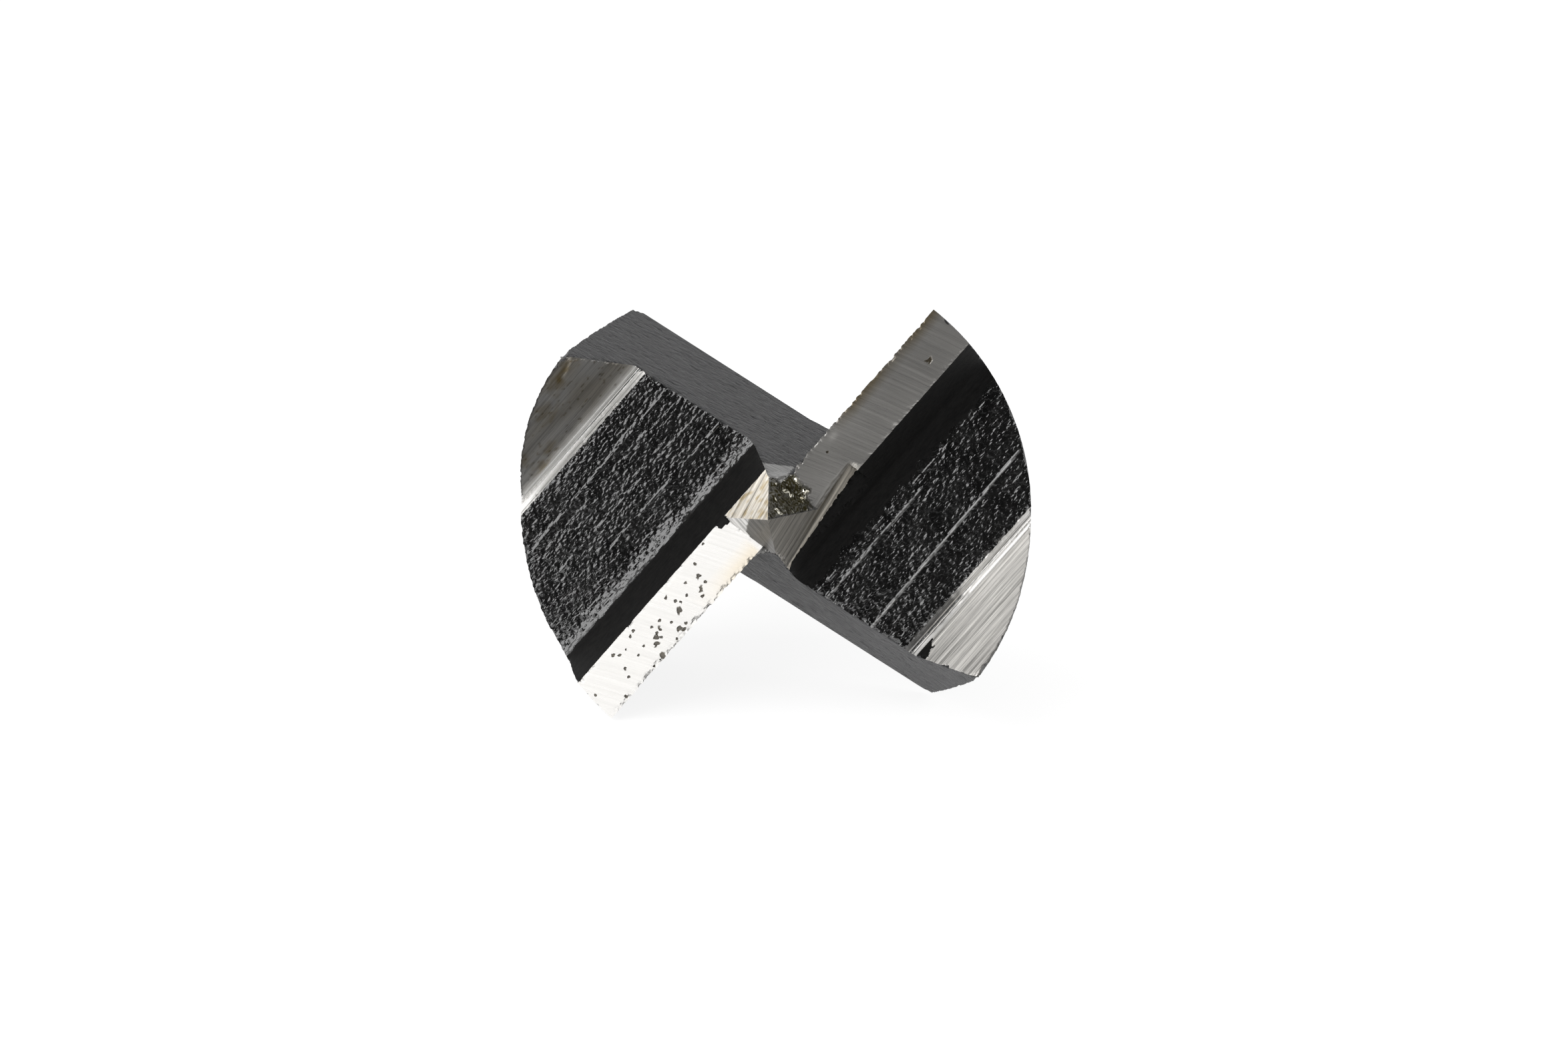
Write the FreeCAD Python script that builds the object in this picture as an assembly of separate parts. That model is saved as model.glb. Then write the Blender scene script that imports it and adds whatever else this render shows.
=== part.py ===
"""Two-wing forstner bit, 35 mm, forged and ground from one piece of steel.

It is modelled along its own axis: z runs out through the centre point, z = 0 is the plane of the two
cutting lips and x runs along them. At the end it is laid down the way it comes to rest on a table,
on one lip corner, the back corner of the other wing and the end of the shank. Millimetres.
"""

import FreeCAD
import Part
import math
import os

# Head
head_d = 35.0  # cutting diameter
head_h = 15.2  # lips to the back face
rim_taper = 0.25  # the rim's radius is this much smaller at the back, so it doesn't bind
back_edge = 0.6  # chamfer round the back of the rim

# Cutting lips
lip_lead = 0.95  # each lip runs this far ahead of the centre line
lip_land = 3.3  # width of the ground land behind each lip
relief_angle = 14.2
rake_angle = 17.0

# Forged step and floor behind each land
step_lean = 28.6  # from the axis
floor_drop = 4.28  # lips down to the forged floor
floor_fillet = 1.4

# Ground spur bevel at the rim
spur_width = 4.05  # rim to the valley at the bevel's foot
spur_angle = 59.5
valley_width = 0.6
valley_drop = 0.6  # forged floor down to the valley
valley_fillet = 0.5

# Chip flutes
flute_lead = 2.1  # axis to the trailing wall, in the plane of the lips
flute_lean_angle = 14.1  # of the trailing wall, from the axis
flute_skew = 8.8  # of the trailing wall, from square to the lips
flute_corner = 1.5  # radius where the two walls of a flute meet

# Centre point
point_h = 4.75  # above the lips
point_angle = 67.3
point_root = 3.0  # its facets run this far down into the web
gash_turn_angle = 6.0  # one facet is turned by this much and ground on along its land
gash_run = 6.0  # axis to where that facet runs out
gash_drop = 2.25  # lips down to its lower edge
gash_exit_angle = 34.5  # slope of the forged step below that edge

# Neck and shank
overall_length = 57.0  # tip of the point to the end of the shank
neck_d = 12.2
neck_length = 7.0
neck_fillet = 4.0
shank_d = 8.0
shank_chamfer = 0.8

# How far profiles and cutters run past the steel they shape
past = 2.0

head_r = head_d / 2
shank_r = shank_d / 2
end_z = point_h - overall_length
land_y = lip_land - lip_lead
land_z = -lip_land * math.tan(math.radians(relief_angle))
foot_y = land_y + (floor_drop + land_z) * math.tan(math.radians(step_lean))
axis = FreeCAD.Vector(0, 0, 1)
centre = FreeCAD.Vector(0, 0, 0)


def slope(angle):
    """Rise per millimetre of a slope given in degrees."""
    return math.tan(math.radians(angle))


def rounded(points, radii):
    """A closed flat wire through the points, with an arc of the given radius at each corner."""
    starts = []
    edges = []
    for i, corner in enumerate(points):
        back = (points[i - 1] - corner).normalize()
        ahead = (points[(i + 1) % len(points)] - corner).normalize()
        if radii[i] == 0:
            starts.append((corner, corner))
            continue
        half = back.getAngle(ahead) / 2
        run = radii[i] / math.tan(half)
        middle = (back + ahead).normalize() * (radii[i] / math.sin(half) - radii[i])
        first = corner + back * run
        last = corner + ahead * run
        starts.append((first, last))
        edges.append(Part.Arc(first, corner + middle, last).toShape())
    for i, (first, last) in enumerate(starts):
        edges.append(Part.makeLine(starts[i - 1][1], first))
    return Part.Wire(Part.__sortEdges__(edges))


def beyond(azimuth, tilt, foot, size):
    """A block lying on the outer side of the plane through foot that faces azimuth and slopes by tilt."""
    block = Part.makeBox(2 * size, 2 * size, size, FreeCAD.Vector(-size, -size, 0))
    block.rotate(centre, FreeCAD.Vector(0, 1, 0), tilt)
    block.rotate(centre, axis, azimuth)
    block.translate(foot)
    return block


def opposite(shape):
    """The same shape on the other wing."""
    other = shape.copy()
    other.rotate(centre, axis, 180)
    return other


# Each wing is one profile across the lip: land, forged step, floor, valley and spur bevel
def wing():
    valley_y = head_r - spur_width
    valley_z = -floor_drop - valley_drop
    out_y = head_r + past
    out_z = valley_z + (out_y - valley_y) * slope(spur_angle)
    low_z = -head_h - past
    corners = [
        (-out_y, 0, 0),
        (-lip_lead, 0, 0),
        (land_y, land_z, 0),
        (foot_y, -floor_drop, floor_fillet),
        (valley_y - valley_width, -floor_drop, 0),
        (valley_y, valley_z, valley_fillet),
        (out_y, out_z, 0),
        (out_y, low_z, 0),
        (-out_y, low_z, 0),
    ]
    points = [FreeCAD.Vector(-out_y, y, z) for y, z, r in corners]
    outline = rounded(points, [r for y, z, r in corners])
    profile = Part.Face(outline).extrude(FreeCAD.Vector(2 * out_y, 0, 0))
    side = Part.makeBox(4 * out_y, 2 * out_y, 4 * out_y, FreeCAD.Vector(-2 * out_y, 0, -2 * out_y))
    side.rotate(centre, axis, 45)
    return profile.common(side)


# The disc that the wings are turned to, tapering a little towards the back
def rim():
    top_z = head_r
    back_r = head_r - rim_taper
    corners = [
        (0, top_z),
        (head_r, top_z),
        (head_r, 0),
        (back_r, back_edge - head_h),
        (back_r - back_edge, -head_h),
        (0, -head_h),
    ]
    points = [FreeCAD.Vector(r, 0, z) for r, z in corners]
    return Part.Face(Part.makePolygon(points + points[:1])).revolve(centre, axis, 360)


# Neck and shank, turned, with the neck rooted inside the head
def stem():
    neck_r = neck_d / 2
    corners = [
        (0, -head_h / 2, 0),
        (neck_r, -head_h / 2, 0),
        (neck_r, -head_h, 0),
        (shank_r, -head_h - neck_length, neck_fillet),
        (shank_r, end_z + shank_chamfer, 0),
        (shank_r - shank_chamfer, end_z, 0),
        (0, end_z, 0),
    ]
    points = [FreeCAD.Vector(r, 0, z) for r, z, f in corners]
    outline = rounded(points, [f for r, z, f in corners])
    return Part.Face(outline).revolve(centre, axis, 360)


# Azimuths of the centre point's four facets; the second wing's land carries the turned one
facets = [0, 90, 180, gash_turn_angle - 90]
tip = FreeCAD.Vector(0, 0, point_h)


def centre_point():
    half = (point_h + point_root) / slope(point_angle) + past
    corner = FreeCAD.Vector(-half, -half, -point_root)
    block = Part.makeBox(2 * half, 2 * half, point_h + point_root, corner)
    for azimuth in facets:
        block = block.cut(beyond(azimuth, point_angle, tip, 4 * half))
    return block


# The turned facet carried on along the land behind the second lip
def gash():
    out = (point_h + gash_drop) / slope(point_angle)
    turn = math.radians(facets[3])
    foot = FreeCAD.Vector(out * math.cos(turn), out * math.sin(turn), -gash_drop)
    ground = beyond(facets[3], point_angle, tip, head_d)
    above = beyond(facets[3], gash_exit_angle, foot, head_d)
    reach = Part.makeBox(gash_run + foot_y, foot_y, head_r, FreeCAD.Vector(-foot_y, -foot_y, -floor_drop))
    return ground.common(above).common(reach)


# A flute is swept straight through the head: one wall is the rake face under a lip, the other the
# sloping back of the wing in front of it
def flute():
    top_z = point_h + past
    low_z = -head_h - neck_length - past
    skew = math.radians(flute_skew)
    rake_y = lip_lead + top_z * slope(rake_angle)
    wall = flute_lead - top_z * slope(flute_lean_angle)
    wall_x = (wall - rake_y * math.sin(skew)) / math.cos(skew)
    far = 2 * head_d
    points = [
        FreeCAD.Vector(wall_x, rake_y, top_z),
        FreeCAD.Vector(wall_x + far, rake_y, top_z),
        FreeCAD.Vector(wall_x + far, rake_y + far, top_z),
        FreeCAD.Vector(wall_x - far * math.tan(skew), rake_y + far, top_z),
    ]
    drift_y = -slope(rake_angle)
    drift_x = (slope(flute_lean_angle) - drift_y * math.sin(skew)) / math.cos(skew)
    sweep = FreeCAD.Vector(drift_x, drift_y, -1) * (top_z - low_z)
    return Part.Face(rounded(points, [flute_corner, 0, 0, 0])).extrude(sweep)


# One piece of steel
def bit():
    wings = wing()
    wings = wings.fuse(opposite(wings)).common(rim())
    body = wings.cut(gash()).fuse([centre_point(), stem()])
    body = body.cut([flute(), opposite(flute())])
    return body.removeSplitter()


# The three places that touch the table, and the direction that points up from it
def rest_up():
    back_z = back_edge - head_h
    back_r = head_r - rim_taper
    wall = flute_lead - back_z * slope(flute_lean_angle)
    along = math.sqrt(back_r**2 - wall**2)
    skew = math.radians(flute_skew)
    lip = FreeCAD.Vector(-math.sqrt(head_r**2 - lip_lead**2), -lip_lead, 0)
    back = FreeCAD.Vector(
        along * math.sin(skew) - wall * math.cos(skew),
        -along * math.cos(skew) - wall * math.sin(skew),
        back_z,
    )
    up = (lip + back).normalize() * -1
    for step in range(30):
        down = FreeCAD.Vector(-up.x, -up.y, 0).normalize()
        heel = down * shank_r + FreeCAD.Vector(0, 0, end_z + shank_chamfer)
        up = (back - lip).cross(heel - lip).normalize()
        if up.dot(lip) > 0:
            up = up * -1
    return up


# Laid down with the point towards -y, standing on z = 0 over the middle of its own outline
def laid_down(shape):
    up = rest_up()
    ahead = (axis - up * axis.dot(up)).normalize() * -1
    right = ahead.cross(up)
    turn = FreeCAD.Matrix(
        right.x, right.y, right.z, 0, ahead.x, ahead.y, ahead.z, 0, up.x, up.y, up.z, 0, 0, 0, 0, 1
    )
    placed = shape.copy()
    placed.Placement = FreeCAD.Placement(turn)
    box = placed.optimalBoundingBox(False)
    placed.translate(FreeCAD.Vector(-box.Center.x, -box.Center.y, -box.ZMin))
    return placed


os.makedirs("parts", exist_ok=True)
laid_down(bit()).exportStep("parts/forstner_bit.step")
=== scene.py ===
"""A forstner bit lying on a pale table, seen straight onto its cutting face.

The bit lies on one lip corner, the back corner of its other wing and the end of its shank. Sizes are in
millimetres unless a line says otherwise; the finished meshes are in metres.
"""
import math

import bmesh
import bpy
import numpy as np
from mathutils import Matrix, Vector, kdtree, noise
from mathutils.geometry import delaunay_2d_cdt


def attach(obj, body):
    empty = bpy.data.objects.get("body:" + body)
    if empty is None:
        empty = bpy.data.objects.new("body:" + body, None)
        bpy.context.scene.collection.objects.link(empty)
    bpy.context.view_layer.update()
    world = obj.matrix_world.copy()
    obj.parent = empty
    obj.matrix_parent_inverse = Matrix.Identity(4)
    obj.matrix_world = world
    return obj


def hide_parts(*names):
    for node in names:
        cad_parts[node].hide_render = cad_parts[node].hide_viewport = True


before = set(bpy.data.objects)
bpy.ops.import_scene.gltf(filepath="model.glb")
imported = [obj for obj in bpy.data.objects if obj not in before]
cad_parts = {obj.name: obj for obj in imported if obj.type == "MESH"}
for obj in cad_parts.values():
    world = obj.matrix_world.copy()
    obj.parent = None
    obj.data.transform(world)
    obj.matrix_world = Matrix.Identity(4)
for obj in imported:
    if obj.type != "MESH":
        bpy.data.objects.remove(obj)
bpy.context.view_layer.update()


# ---- The forging ----
# The bit is one forging of tool steel: two wings on a web, with the neck and shank turned from the same
# bar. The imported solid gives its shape. Here its skin is laid again in small even triangles, fine where
# the steel is rough and coarse on the shank, so that scale, grinding and chips can be worked into it.

# The bit's own axes as it lies: along the lips, across them, and out through the centre point
lip_way = Vector((0.5481030, 0.1769429, 0.8174805))
wing_way = Vector((-0.8364108, 0.1159513, 0.5356979))
point_way = Vector((0.0, -0.9773671, 0.2115502))
lip_middle = Vector((0.0, -23.550950, 15.048429))
laid = Matrix((lip_way, wing_way, point_way)).transposed().to_4x4()
laid = Matrix.Scale(0.001, 4) @ Matrix.Translation(lip_middle) @ laid
upright = laid.inverted()

# Sizes of the head, neck and shank that the skin has to meet exactly
head_r = 17.5
head_h = 15.2
rim_taper = 0.25
back_edge = 0.6
lip_lead = 0.95
land_width = 3.3
land_angle = 14.2
land_slope = math.tan(math.radians(land_angle))
land_y = 2.35
land_z = -land_width * land_slope
step_lean = 28.6
floor_z = -4.28
floor_hollow_r = 1.4
step_slope = math.tan(math.radians(step_lean))
foot_y = land_y + (land_z - floor_z) * step_slope
valley_y = 13.45
valley_z = -4.88
valley_hollow_r = 0.5
spur_angle = 59.5
flute_lead = 2.1
flute_lean = math.tan(math.radians(14.1))
flute_skew = math.radians(8.8)
flute_hollow_r = 1.5
rake = math.tan(math.radians(17))
point_h = 4.75
point_angle = 67.3
gash_turn = -84
gash_angle = 34.5
neck_r = 6.1
neck_length = 7.0
neck_hollow_r = 4.0
shank_r = 4.0
end_z = -52.25
shank_chamfer = 0.8


def hollow(corner, before, after, radius):
    """Centre of the arc that rounds the corner between the directions before and after."""
    before = Vector(before).normalized()
    after = Vector(after).normalized()
    half = before.angle(after) / 2
    return np.array(Vector(corner) + (before + after).normalized() * (radius / math.sin(half)))


up_spur = (math.cos(math.radians(spur_angle)), math.sin(math.radians(spur_angle)))
floor_arc = hollow((foot_y, floor_z), (-step_slope, 1), (1, 0), floor_hollow_r)
valley_arc = hollow((valley_y, valley_z), (-0.6, 0.6), up_spur, valley_hollow_r)
flute_x = (flute_lead - lip_lead * math.sin(flute_skew)) / math.cos(flute_skew)
flute_arc = hollow((flute_x, lip_lead), (-math.tan(flute_skew), 1), (1, 0), flute_hollow_r)
flute_run = np.array(((flute_lean + rake * math.sin(flute_skew)) / math.cos(flute_skew), -rake))
cone_way = Vector((neck_r - shank_r, neck_length))
neck_arc = hollow((shank_r, -head_h - neck_length), cone_way, (0, -1), neck_hollow_r)
cone_end = neck_arc[1] + neck_hollow_r * cone_way.normalized()[0]


def turned_r(z):
    """Radius of the turned surfaces at each height: rim, back edge, neck, shank and its chamfer."""
    low = -head_h - z
    cone = neck_r - low * (neck_r - shank_r) / neck_length
    sweep = neck_arc[0] - np.sqrt(np.maximum(neck_hollow_r**2 - (z - neck_arc[1]) ** 2, 0))
    stem = np.where(z > cone_end, cone, np.where(z > neck_arc[1], sweep, shank_r))
    stem = np.where(z < end_z + shank_chamfer, shank_r - (end_z + shank_chamfer - z), stem)
    back_z = back_edge - head_h
    rim = np.where(z > 0, head_r, head_r + rim_taper * z / -back_z)
    rim = np.where(z < back_z, head_r - rim_taper - (back_z - z), rim)
    return rim, stem


# The parts of the skin and the size of the triangles on each
skin_parts = [
    ("floor", 0.096),
    ("floor_hollow", 0.096),
    ("wall", 0.24),
    ("land", 0.13),
    ("valley", 0.11),
    ("valley_hollow", 0.12),
    ("spur", 0.16),
    ("point", 0.11),
    ("gash_foot", 0.14),
    ("gash_end", 0.14),
    ("web", 0.10),
    ("flute", 0.20),
    ("flute_hollow", 0.19),
    ("rake", 0.32),
    ("rim", 0.30),
    ("back_edge", 0.30),
    ("back", 0.50),
    ("stem", 0.50),
    ("stem_end", 0.50),
]
part_names = [name for name, size in skin_parts]
part_size = dict(skin_parts)


def numbered(*names):
    """Numbers of the named parts."""
    return [part_names.index(name) for name in names]


def way(tilt, azimuth):
    """The direction tilted from the bit's axis towards an azimuth, in degrees."""
    tilt = math.radians(tilt)
    azimuth = math.radians(azimuth)
    return Vector((math.sin(tilt) * math.cos(azimuth), math.sin(tilt) * math.sin(azimuth), math.cos(tilt)))


facet_ways = [way(point_angle, azimuth) for azimuth in (0, 90, 180, gash_turn)]
gash_way = way(gash_angle, gash_turn)
flat_ways = [
    ("land", way(land_angle, 90)),
    ("wall", way(90 - step_lean, 90)),
    ("spur", way(spur_angle, -90)),
    ("valley", Vector((0, 0.6, 0.6)).normalized()),
]
rake_way = Vector((0, 1, -rake)).normalized()
wall_across = np.array((math.cos(flute_skew), math.sin(flute_skew)))
wall_way = Vector((*wall_across, flute_lean)).normalized()
run_way = Vector((*flute_run, -1)).normalized()
flush = 0.9999  # two faces whose normals' cosine is over this lie in one plane
touching = 0.02
mid_floor = 9.0


def name_part(normal, corners):
    """Which part of the skin a triangle of the solid belongs to."""
    middle = sum(corners, Vector()) / 3
    for turn in (1, -1):
        facing = Vector((normal.x * turn, normal.y * turn, normal.z))
        spots = np.array([(corner.x * turn, corner.y * turn, corner.z) for corner in corners])
        slid = spots[:, :2] + spots[:, 2:] * flute_run
        if facing.dot(rake_way) > flush and abs(slid[:, 1] - lip_lead).max() < touching:
            return "rake"
        if facing.dot(wall_way) > flush and abs(slid @ wall_across - flute_lead).max() < touching:
            return "flute"
        off = abs(np.linalg.norm(slid - flute_arc, axis=1) - flute_hollow_r).max()
        if off < 0.03 and abs(facing.dot(run_way)) < 0.5:
            return "flute_hollow"
    if middle.z < -head_h - 0.01:
        return "stem_end" if normal.z < -0.999 else "stem"
    if normal.z < -0.999:
        return "back"
    if normal.z < -0.5:
        return "back_edge"
    nearest = min(math.hypot(corner.x, corner.y) for corner in corners)
    if nearest > head_r - 0.4 and abs(normal.z) < 0.1:
        return "rim"
    if normal.z > flush:
        return "floor" if middle.z < -1 else "web"
    if abs(normal.x) > flush:
        return "gash_end"
    facet = max(facet_ways, key=normal.dot)
    if normal.dot(facet) > flush and abs((middle - Vector((0, 0, point_h))).dot(facet)) < touching:
        return "point"
    if normal.dot(gash_way) > flush:
        return "gash_foot"
    for name, flat in flat_ways:
        facing = Vector((normal.x, abs(normal.y) * math.copysign(1, flat.y), normal.z))
        if facing.dot(flat) > flush and (abs(middle.y) > mid_floor or name in ("land", "wall")):
            return name
    return "floor_hollow" if abs(middle.y) < mid_floor else "valley_hollow"


blank = bmesh.new()
blank.from_mesh(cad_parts["forstner_bit"].data)
bmesh.ops.remove_doubles(blank, verts=blank.verts, dist=1e-6)
blank.transform(upright)
part_layer = blank.faces.layers.int.new("part")
for triangle in blank.faces:
    triangle.normal_update()
    corners = [corner.co for corner in triangle.verts]
    triangle[part_layer] = part_names.index(name_part(triangle.normal, corners))

# The turned surfaces are quartered, so that each patch lies nearly flat
turned = numbered("rim", "back_edge", "stem", "stem_end")
for across in (Vector((1, 0, 0)), Vector((0, 1, 0))):
    round_faces = [face for face in blank.faces if face[part_layer] in turned]
    edges = {edge for face in round_faces for edge in face.edges}
    corners = {corner for face in round_faces for corner in face.verts}
    cut = round_faces + list(edges) + list(corners)
    bmesh.ops.bisect_plane(blank, geom=cut, dist=1e-5, plane_co=(0, 0, 0), plane_no=across)
bmesh.ops.triangulate(blank, faces=blank.faces)
for members in (blank.verts, blank.edges, blank.faces):
    members.ensure_lookup_table()
    members.index_update()


def patch_key(face):
    """Neighbouring triangles with the same key lie in one patch."""
    middle = face.calc_center_median()
    if face[part_layer] in turned:
        return face[part_layer], middle.x > 0, middle.y > 0
    if part_names[face[part_layer]] == "point":
        return face[part_layer], max(range(4), key=lambda i: face.normal.dot(facet_ways[i]))
    return face[part_layer]


# Rust pits in each wing's land: place along and across the lip, radius. Each gets points of its own: its
# middle and a ring round its floor, then a ring round its rim
land_pits = {
    1: [
        (-14.3, 1.8, 0.12), (-14.0, 1.5, 0.1), (-12.55, 1.75, 0.1), (-12.1, 1.85, 0.1), (-13.4, 1.4, 0.08),
        (-14.4, 0.6, 0.1), (-13.1, 0.5, 0.08), (-12.4, 0.65, 0.1), (-14.65, 0.05, 0.09), (-11.7, 0.1, 0.17),
        (-11.35, 0.4, 0.17), (-11.15, 0.15, 0.12), (-11.15, 0.6, 0.12), (-10.8, 0.55, 0.12), (-11.1, 1.1, 0.1),
        (-10.4, 1.0, 0.1), (-12.9, -0.8, 0.08), (-12.3, -0.8, 0.08), (-12.0, -0.72, 0.18), (-10.5, -0.7, 0.1),
        (-9.85, -0.35, 0.18), (-9.7, -0.65, 0.12), (-9.3, -0.5, 0.12), (-9.95, 0.3, 0.1), (-8.95, 0.4, 0.17),
        (-8.7, 1.05, 0.1), (-8.5, 0.75, 0.1), (-9.0, 1.65, 0.1), (-7.9, 0.7, 0.1), (-7.35, 1.35, 0.1),
        (-6.35, 0.95, 0.17), (-6.9, 0.3, 0.17), (-7.2, -0.1, 0.1), (-6.35, 0.4, 0.1), (-5.95, 1.7, 0.1),
        (-4.6, 2.2, 0.09), (-15.7, -0.7, 0.12), (-17.1, 0.9, 0.1),
    ],
    -1: [(-14.7, 1.1, 0.2), (-5.6, 0.0, 0.09)],
}
floor_ring = 7
rim_ring = 9


def pit_points(at_x, at_y, radius):
    """The points of one uneven pit, in the plane of the first wing's land."""
    points = [(at_x, at_y)]
    for number, share, turned_on in ((floor_ring, 0.8, 0), (rim_ring, 1.2, 0.5)):
        for step in range(number):
            turn = math.tau * (step + turned_on) / number
            uneven = noise.noise((at_x * 9 + math.cos(turn), at_y * 9, math.sin(turn)))
            reach = 0.9 * radius * share * (1 + 0.9 * uneven)
            points.append((at_x + reach * math.cos(turn) * 1.1, at_y + reach * math.sin(turn)))
    return [(u, v, -(v + lip_lead) * land_slope) for u, v in points]


patch_of = {}
patches = []
for start in blank.faces:
    if start.index in patch_of:
        continue
    patch = []
    waiting = [start]
    patch_of[start.index] = len(patches)
    while waiting:
        face = waiting.pop()
        patch.append(face)
        for edge in face.edges:
            for other in edge.link_faces:
                if other.index not in patch_of and patch_key(other) == patch_key(face):
                    patch_of[other.index] = len(patches)
                    waiting.append(other)
    patches.append(patch)


def settle(points, patch):
    """Moves points that lie near a patch exactly onto the surface that the patch stands for."""
    name = part_names[patch[0][part_layer]]
    points = points.copy()
    if name in ("rim", "back_edge", "stem"):
        rim, stem = turned_r(points[:, 2])
        wanted = stem if name == "stem" else rim
        points[:, :2] *= (wanted / np.hypot(points[:, 0], points[:, 1]))[:, None]
        return points
    if name in ("floor_hollow", "valley_hollow"):
        centre, radius = (floor_arc, floor_hollow_r)
        if name == "valley_hollow":
            centre, radius = (valley_arc, valley_hollow_r)
        side = math.copysign(1, patch[0].calc_center_median().y)
        from_centre = points[:, 1:] * (side, 1) - centre
        from_centre *= (radius / np.linalg.norm(from_centre, axis=1))[:, None]
        points[:, 1:] = (centre + from_centre) * (side, 1)
        return points
    if name == "flute_hollow":
        side = math.copysign(1, patch[0].normal.x)
        slid = points[:, :2] * side + points[:, 2:] * flute_run
        from_centre = slid - flute_arc
        from_centre *= (flute_hollow_r / np.linalg.norm(from_centre, axis=1))[:, None]
        points[:, :2] = (flute_arc + from_centre - points[:, 2:] * flute_run) * side
        return points
    largest = max(patch, key=lambda face: face.calc_area())
    normal = np.array(largest.normal)
    return points - ((points - np.array(largest.verts[0].co)) @ normal)[:, None] * normal


# Edges between patches are divided first, so that both sides meet in the same points
skin_points = [np.array(corner.co) for corner in blank.verts]
divided = {}
for edge in blank.edges:
    sides = {patch_of[face.index] for face in edge.link_faces}
    if len(sides) < 2:
        continue
    size = min(part_size[part_names[face[part_layer]]] for face in edge.link_faces)
    count = max(1, round(edge.calc_length() / size))
    first, last = (np.array(corner.co) for corner in edge.verts)
    share = np.arange(1, count)[:, None] / count
    between = first * (1 - share) + last * share
    for step in range(4):
        for side in sides:
            between = settle(between, patches[side])
    numbers = list(range(len(skin_points), len(skin_points) + len(between)))
    skin_points.extend(between)
    divided[edge.index] = [edge.verts[0].index, *numbers, edge.verts[1].index]

row_step = 0.866  # between rows of triangles, as a share of their size
border_gap = 0.62  # kept free along a patch's border, as a share of the size
skin_triangles = []
triangle_parts = []
pit_floors = []
for patch in patches:
    size = part_size[part_names[patch[0][part_layer]]]
    facing = sum((face.normal * face.calc_area() for face in patch), Vector()).normalized()
    along = Vector((1, 0, 0)) if abs(facing.x) < 0.9 else Vector((0, 1, 0))
    along = (along - facing * along.dot(facing)).normalized()
    over = facing.cross(along)
    flat = np.array((along, over)).T
    border = []
    for face in patch:
        for edge in face.edges:
            if edge.index in divided:
                border.extend(zip(divided[edge.index][:-1], divided[edge.index][1:]))
    border = sorted(set(tuple(sorted(pair)) for pair in border))
    border_points = sorted({point for pair in border for point in pair})
    border_flat = np.array([skin_points[point] for point in border_points]) @ flat
    nearby = kdtree.KDTree(len(border_points))
    for i, (u, v) in enumerate(border_flat):
        nearby.insert((u, v, 0), i)
    nearby.balance()
    # An even triangular grid over each triangle of the solid
    found = {}
    for face in patch:
        corners = np.array([corner.co for corner in face.verts], float)
        a, b, c = corners @ flat
        area = (b[0] - a[0]) * (c[1] - a[1]) - (c[0] - a[0]) * (b[1] - a[1])
        if abs(area) < 1e-9:
            continue
        low = np.minimum(np.minimum(a, b), c)
        high = np.maximum(np.maximum(a, b), c)
        row = size * row_step
        rows = np.arange(math.ceil(low[1] / row), math.floor(high[1] / row) + 1)
        columns = np.arange(math.floor(low[0] / size) - 1, math.floor(high[0] / size) + 2)
        if not len(rows) or not len(columns):
            continue
        columns, rows = (grid.ravel() for grid in np.meshgrid(columns, rows))
        u = (columns + 0.5 * (rows % 2)) * size
        v = rows * size * row_step
        share_b = ((u - a[0]) * (c[1] - a[1]) - (c[0] - a[0]) * (v - a[1])) / area
        share_c = ((b[0] - a[0]) * (v - a[1]) - (u - a[0]) * (b[1] - a[1])) / area
        within = (share_b >= -1e-9) & (share_c >= -1e-9) & (share_b + share_c <= 1 + 1e-9)
        shares = np.stack((1 - share_b - share_c, share_b, share_c), 1)[within]
        for key, point in zip(zip(columns[within], rows[within]), shares @ corners):
            found[key] = point
    filling = np.array(list(found.values())).reshape(-1, 3)
    if len(filling):
        filling = settle(filling, patch)
        clear = [nearby.find((u, v, 0))[2] > border_gap * size for u, v in filling @ flat]
        filling = filling[np.array(clear)]
    pits = []
    if part_names[patch[0][part_layer]] == "land":
        side = math.copysign(1, facing.y)
        for at_x, at_y, radius in land_pits[side]:
            pit = np.array(pit_points(at_x, at_y, radius)) * (side, side, 1)
            filling = filling[np.linalg.norm(filling - pit[0], axis=1) > 1.45 * radius + 0.03]
            pits.append(pit)
    for pit in pits:
        first = len(skin_points) + len(filling)
        pit_floors.extend(range(first, first + 1 + floor_ring))
        filling = np.concatenate((filling, pit))
    numbers = border_points + list(range(len(skin_points), len(skin_points) + len(filling)))
    skin_points.extend(filling)
    place = {point: i for i, point in enumerate(border_points)}
    spots = np.concatenate((border_flat, filling @ flat)) if len(filling) else border_flat
    lines = [(place[a], place[b]) for a, b in border]
    made = delaunay_2d_cdt([Vector(spot) for spot in spots], lines, [], 1, 1e-6)
    for triangle in made[2]:
        skin_triangles.append([numbers[made[3][corner][0]] for corner in triangle])
        triangle_parts.append(patch[0][part_layer])
blank.free()

used = np.unique(skin_triangles)
fresh = np.zeros(len(skin_points), int)
fresh[used] = np.arange(len(used))
skin_points = np.array(skin_points)[used]
skin_triangles = fresh[np.array(skin_triangles)]
pit_floors = fresh[np.intersect1d(pit_floors, used)]
triangle_parts = np.array(triangle_parts)
skin = bpy.data.meshes.new("bit_skin")
skin.from_pydata(skin_points.tolist(), [], skin_triangles.tolist())
skin.update()
part_mark = skin.attributes.new("part", "INT", "FACE")
part_mark.data.foreach_set("value", triangle_parts.astype(np.int32))
spot_mark = skin.attributes.new("spot", "FLOAT_VECTOR", "POINT")
spot_mark.data.foreach_set("vector", skin_points.astype(np.float32).ravel())
shell = bmesh.new()
shell.from_mesh(skin)
part_layer = shell.faces.layers.int["part"]
for edge in shell.edges:
    first, second = edge.link_faces
    edge.smooth = edge.calc_face_angle() < (0.5 if first[part_layer] == second[part_layer] else 0.2)
shell.to_mesh(skin)
shell.free()
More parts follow.
